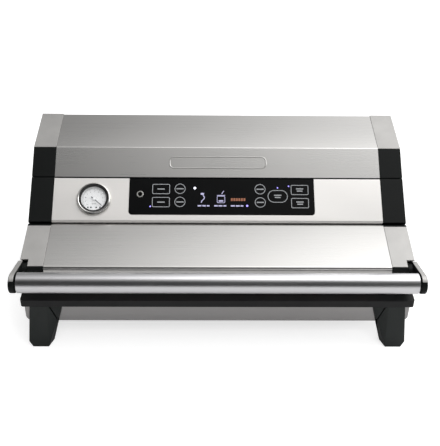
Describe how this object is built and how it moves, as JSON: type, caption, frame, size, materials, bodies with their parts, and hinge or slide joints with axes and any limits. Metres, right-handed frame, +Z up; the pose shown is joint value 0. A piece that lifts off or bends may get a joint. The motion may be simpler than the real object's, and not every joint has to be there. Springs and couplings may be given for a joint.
{
  "type": "vacuum sealer",
  "caption": "Countertop vacuum sealer in brushed steel with black end caps, a sloping control console, a vacuum gauge, a hinged lid and a press-down bar handle across its front.",
  "frame": {"origin": "on the worktop, under the middle of the machine's bounding box", "axes": "+X to the user's right along the bar, +Y from the user to the back of the machine, +Z up"},
  "size_m": [0.4406, 0.241, 0.1768],
  "materials": {
    "steel_covers": "brushed along X, satin",
    "steel_lower": "brushed along X, satin",
    "silver_trim": "silver-grey satin",
    "black_caps": "semi-gloss moulded",
    "black_base": "fine-textured moulded",
    "leg_plastic": "satin moulded",
    "black_rubber": "dull",
    "gasket_foam": "closed-cell foam",
    "silicone_strip": "satin silicone",
    "bar_tube": "satin anodised",
    "bezel_chrome": "polished",
    "zinc_plate": "zinc-plated",
    "dial_white": "printed card",
    "gauge_window": "clear",
    "needle_black": "satin",
    "display_black": "glossy, printed legends",
    "circuit_board": "solder mask",
    "pump_metal": "die-cast",
    "motor_steel": "plated can",
    "core_iron": "varnished laminations",
    "heater_strip": "bare nichrome",
    "tape_cloth": "coated glass cloth"
  },
  "bodies": {
    "housing": {"lower_body": "steel_lower", "bottom_plate": "steel_lower", "base_tray": "black_base", "drip_tray": "steel_lower", "lower_gasket": "gasket_foam", "seal_bar": "zinc_plate", "heating_element": "heater_strip", "sealing_tape": "tape_cloth", "front_leg_right": "leg_plastic", "front_leg_left": "leg_plastic", "rear_foot_right": "black_rubber", "rear_foot_left": "black_rubber", "hood_cover": "steel_covers", "hood_end_cap_right": "black_caps", "hood_end_cap_left": "black_caps", "hood_trim_right": "silver_trim", "hood_trim_left": "silver_trim", "console_end_cap_right": "black_caps", "console_end_cap_left": "black_caps", "rear_panel": "steel_lower", "hinge_bracket_right": "zinc_plate", "hinge_bracket_left": "zinc_plate", "control_fascia": "steel_covers", "display_panel": "display_black", "control_board": "circuit_board", "accessory_port": "bezel_chrome", "gauge_case": "zinc_plate", "gauge_bezel": "bezel_chrome", "gauge_dial": "dial_white", "gauge_glass": "gauge_window", "fan_frame": "black_base", "vacuum_pump": "pump_metal", "pump_motor": "motor_steel", "transformer": "core_iron", "power_inlet": "black_base", "switch_frame": "black_base", "vacuum_hose": "black_rubber", "gauge_tube": "black_rubber", "striker_right": "zinc_plate", "striker_left": "zinc_plate"},
    "lid": {"lid_cover": "steel_covers", "lid_end_cap_right": "black_caps", "lid_end_cap_left": "black_caps", "lid_trim_right": "silver_trim", "lid_trim_left": "silver_trim", "lid_frame": "black_base", "upper_gasket": "gasket_foam", "pressure_strip": "silicone_strip", "lid_hinge_pin_right": "zinc_plate", "lid_hinge_pin_left": "zinc_plate", "handle_pivot_pin_right": "zinc_plate", "handle_pivot_pin_left": "zinc_plate", "handle_spring_right": "motor_steel", "handle_spring_left": "motor_steel"},
    "handle": {"handle_tube": "bar_tube", "handle_arm_right": "black_caps", "handle_arm_left": "black_caps"},
    "needle": {"gauge_needle": "needle_black"},
    "fan": {"cooling_fan": "black_base"},
    "rocker": {"power_rocker": "black_caps"}
  },
  "joints": [
    {"name": "lid_hinge", "type": "hinge", "parent": "housing", "child": "lid", "pos_m": [0, -0.024, 0.1045], "axis": [-1, 0, 0], "range_deg": [0, 68]},
    {"name": "handle_press", "type": "hinge", "parent": "lid", "child": "handle", "pos_m": [0, -0.081, 0.0905], "axis": [1, 0, 0], "range_deg": [0, 25], "stiffness_Nm_per_rad": 0.3, "springref_deg": -34.38},
    {"name": "gauge_swing", "type": "hinge", "parent": "housing", "child": "needle", "pos_m": [-0.142, 0.00185, 0.12892], "axis": [0, -0.5842, 0.8116], "range_deg": [0, 260], "stiffness_Nm_per_rad": 0.0002},
    {"name": "fan_spin", "type": "hinge", "parent": "housing", "child": "fan", "pos_m": [-0.12, 0.10875, 0.1065], "axis": [0, 1, 0], "continuous": true},
    {"name": "power_switch", "type": "hinge", "parent": "housing", "child": "rocker", "pos_m": [0.091, 0.1161, 0.091], "axis": [-1, 0, 0], "range_deg": [0, 14]}
  ]
}
